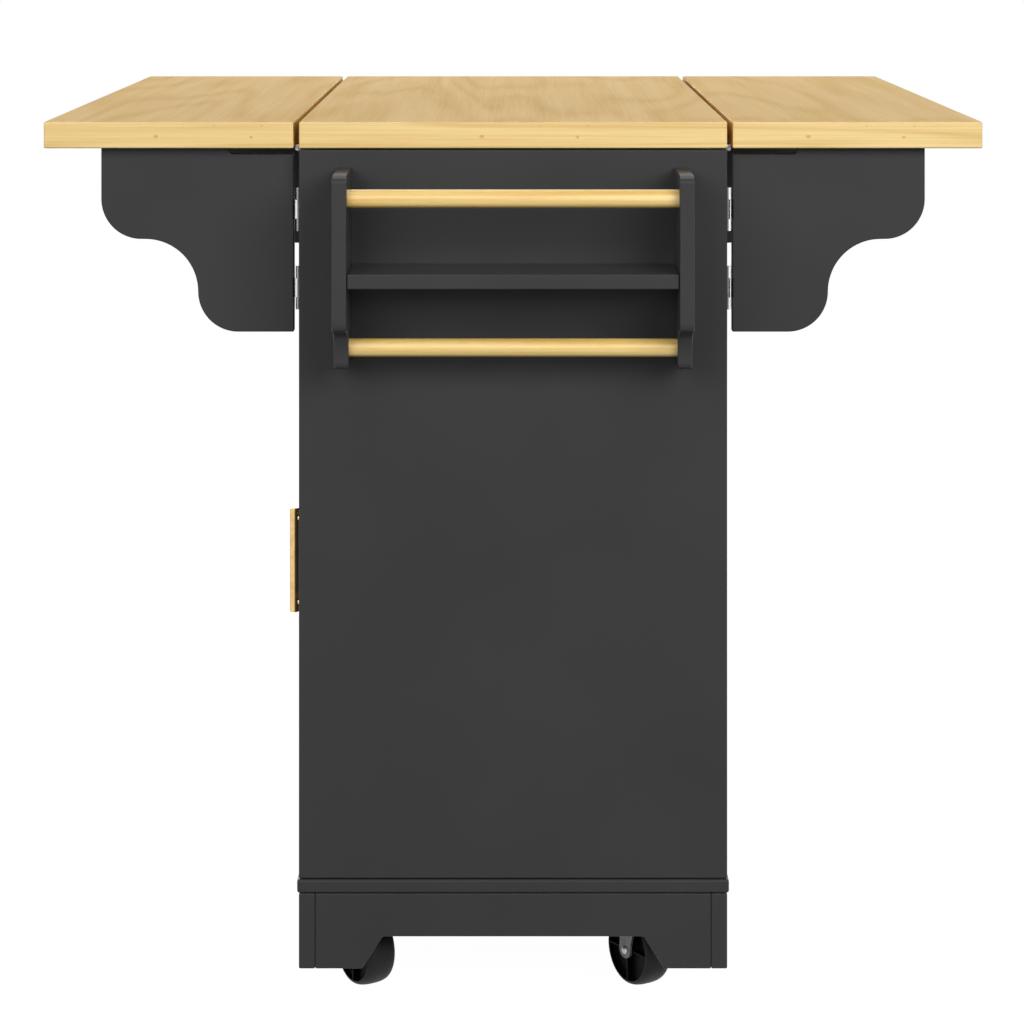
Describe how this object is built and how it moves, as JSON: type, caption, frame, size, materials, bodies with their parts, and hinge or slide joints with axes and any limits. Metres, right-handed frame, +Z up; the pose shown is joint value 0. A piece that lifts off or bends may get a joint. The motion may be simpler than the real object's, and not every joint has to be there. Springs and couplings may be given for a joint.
{
  "type": "drop leaf kitchen island",
  "caption": "Kitchen island on swivel casters with a wooden top, two hinged leaves on folding ogee brackets, doors, a drawer, an open bay, and an end rack with shelf and rails.",
  "frame": {"origin": "on the floor, at the middle of the whole outline seen from above", "axes": "+Z up, +Y along the island away from the end that carries the rack, +X towards the rear, so the doors and the drawer face -X"},
  "size_m": [0.986, 1.0598, 0.937],
  "materials": {
    "top_wood": "clear satin lacquer",
    "rail_wood": "clear satin lacquer",
    "drawer_wood": "plain sealed wood",
    "black_paint": "black satin paint",
    "handle_brass": "polished",
    "hinge_steel": "bright nickel plate",
    "caster_steel": "zinc plate",
    "caster_wheel": "matt black"
  },
  "bodies": {
    "cabinet": {"top_slab": "top_wood", "slab_hinge_front_near": "hinge_steel", "slab_hinge_front_far": "hinge_steel", "slab_hinge_rear_near": "hinge_steel", "slab_hinge_rear_far": "hinge_steel", "bracket_hinge_front_near_upper": "hinge_steel", "bracket_hinge_front_near_lower": "hinge_steel", "bracket_hinge_front_far_upper": "hinge_steel", "bracket_hinge_front_far_lower": "hinge_steel", "bracket_hinge_rear_near_upper": "hinge_steel", "bracket_hinge_rear_near_lower": "hinge_steel", "bracket_hinge_rear_far_upper": "hinge_steel", "bracket_hinge_rear_far_lower": "hinge_steel", "end_panel_near": "black_paint", "end_panel_far": "black_paint", "bottom_board": "black_paint", "back_panel": "black_paint", "partition_near": "black_paint", "partition_far": "black_paint", "drawer_deck": "black_paint", "apron_front": "black_paint", "shelf_near": "black_paint", "shelf_centre": "black_paint", "shelf_far": "black_paint", "base_board_front": "black_paint", "base_board_rear": "black_paint", "end_skirt_near": "black_paint", "end_skirt_far": "black_paint", "caster_rail_near": "black_paint", "caster_rail_far": "black_paint", "rack_side_front": "black_paint", "rack_side_rear": "black_paint", "rack_shelf": "black_paint", "rack_dowel_upper": "rail_wood", "rack_dowel_lower": "rail_wood"},
    "leaf_front": {"leaf_front": "top_wood", "leaf_flap_front_near": "hinge_steel", "leaf_flap_front_far": "hinge_steel"},
    "leaf_rear": {"leaf_rear": "top_wood", "leaf_flap_rear_near": "hinge_steel", "leaf_flap_rear_far": "hinge_steel"},
    "bracket_front_near": {"bracket_front_near": "black_paint"},
    "bracket_front_far": {"bracket_front_far": "black_paint"},
    "bracket_rear_near": {"bracket_rear_near": "black_paint"},
    "bracket_rear_far": {"bracket_rear_far": "black_paint"},
    "door_near": {"door_near": "black_paint", "door_handle_near": "handle_brass"},
    "door_far": {"door_far": "black_paint", "door_handle_far": "handle_brass"},
    "drawer": {"drawer_front": "black_paint", "drawer_box": "drawer_wood", "drawer_handle": "handle_brass"},
    "caster_fork_front_near": {"caster_fork_front_near": "caster_steel"},
    "caster_wheel_front_near": {"caster_wheel_front_near": "caster_wheel"},
    "caster_fork_front_far": {"caster_fork_front_far": "caster_steel"},
    "caster_wheel_front_far": {"caster_wheel_front_far": "caster_wheel"},
    "caster_fork_rear_near": {"caster_fork_rear_near": "caster_steel"},
    "caster_wheel_rear_near": {"caster_wheel_rear_near": "caster_wheel"},
    "caster_fork_rear_far": {"caster_fork_rear_far": "caster_steel"},
    "caster_wheel_rear_far": {"caster_wheel_rear_far": "caster_wheel"}
  },
  "joints": [
    {"name": "leaf_front_lift", "type": "hinge", "parent": "cabinet", "child": "leaf_front", "pos_m": [-0.2278, 0.0531, 0.9075], "axis": [0, 1, 0], "range_deg": [0, 10]},
    {"name": "leaf_rear_lift", "type": "hinge", "parent": "cabinet", "child": "leaf_rear", "pos_m": [0.2278, 0.0531, 0.9075], "axis": [0, -1, 0], "range_deg": [0, 10]},
    {"name": "bracket_front_near_fold", "type": "hinge", "parent": "cabinet", "child": "bracket_front_near", "pos_m": [-0.2278, -0.4079, 0.8119], "axis": [0, 0, -1], "range_deg": [0, 90]},
    {"name": "bracket_front_far_fold", "type": "hinge", "parent": "cabinet", "child": "bracket_front_far", "pos_m": [-0.2278, 0.5141, 0.8119], "axis": [0, 0, 1], "range_deg": [0, 90]},
    {"name": "bracket_rear_near_fold", "type": "hinge", "parent": "cabinet", "child": "bracket_rear_near", "pos_m": [0.2278, -0.4079, 0.8119], "axis": [0, 0, 1], "range_deg": [0, 90]},
    {"name": "bracket_rear_far_fold", "type": "hinge", "parent": "cabinet", "child": "bracket_rear_far", "pos_m": [0.2278, 0.5141, 0.8119], "axis": [0, 0, -1], "range_deg": [0, 90]},
    {"name": "door_near_open", "type": "hinge", "parent": "cabinet", "child": "door_near", "pos_m": [-0.221, -0.4009, 0.41425], "axis": [0, 0, 1], "range_deg": [0, 110]},
    {"name": "door_far_open", "type": "hinge", "parent": "cabinet", "child": "door_far", "pos_m": [-0.221, 0.5071, 0.41425], "axis": [0, 0, -1], "range_deg": [0, 110]},
    {"name": "drawer_slide", "type": "slide", "parent": "cabinet", "child": "drawer", "axis": [-1, 0, 0], "range_m": [0, 0.3]},
    {"name": "caster_swivel_front_near", "type": "hinge", "parent": "cabinet", "child": "caster_fork_front_near", "pos_m": [-0.148, -0.3419, 0.09], "axis": [0, 0, 1], "continuous": true},
    {"name": "caster_spin_front_near", "type": "hinge", "parent": "caster_fork_front_near", "child": "caster_wheel_front_near", "pos_m": [-0.15956, -0.32437, 0.0385], "axis": [-0.8348, -0.5505, 0], "continuous": true},
    {"name": "caster_swivel_front_far", "type": "hinge", "parent": "cabinet", "child": "caster_fork_front_far", "pos_m": [-0.148, 0.4481, 0.09], "axis": [0, 0, 1], "continuous": true},
    {"name": "caster_spin_front_far", "type": "hinge", "parent": "caster_fork_front_far", "child": "caster_wheel_front_far", "pos_m": [-0.15956, 0.46563, 0.0385], "axis": [-0.8348, -0.5505, 0], "continuous": true},
    {"name": "caster_swivel_rear_near", "type": "hinge", "parent": "cabinet", "child": "caster_fork_rear_near", "pos_m": [0.148, -0.3419, 0.09], "axis": [0, 0, 1], "continuous": true},
    {"name": "caster_spin_rear_near", "type": "hinge", "parent": "caster_fork_rear_near", "child": "caster_wheel_rear_near", "pos_m": [0.13644, -0.32437, 0.0385], "axis": [-0.8348, -0.5505, 0], "continuous": true},
    {"name": "caster_swivel_rear_far", "type": "hinge", "parent": "cabinet", "child": "caster_fork_rear_far", "pos_m": [0.148, 0.4481, 0.09], "axis": [0, 0, 1], "continuous": true},
    {"name": "caster_spin_rear_far", "type": "hinge", "parent": "caster_fork_rear_far", "child": "caster_wheel_rear_far", "pos_m": [0.13644, 0.46563, 0.0385], "axis": [-0.8348, -0.5505, 0], "continuous": true}
  ]
}
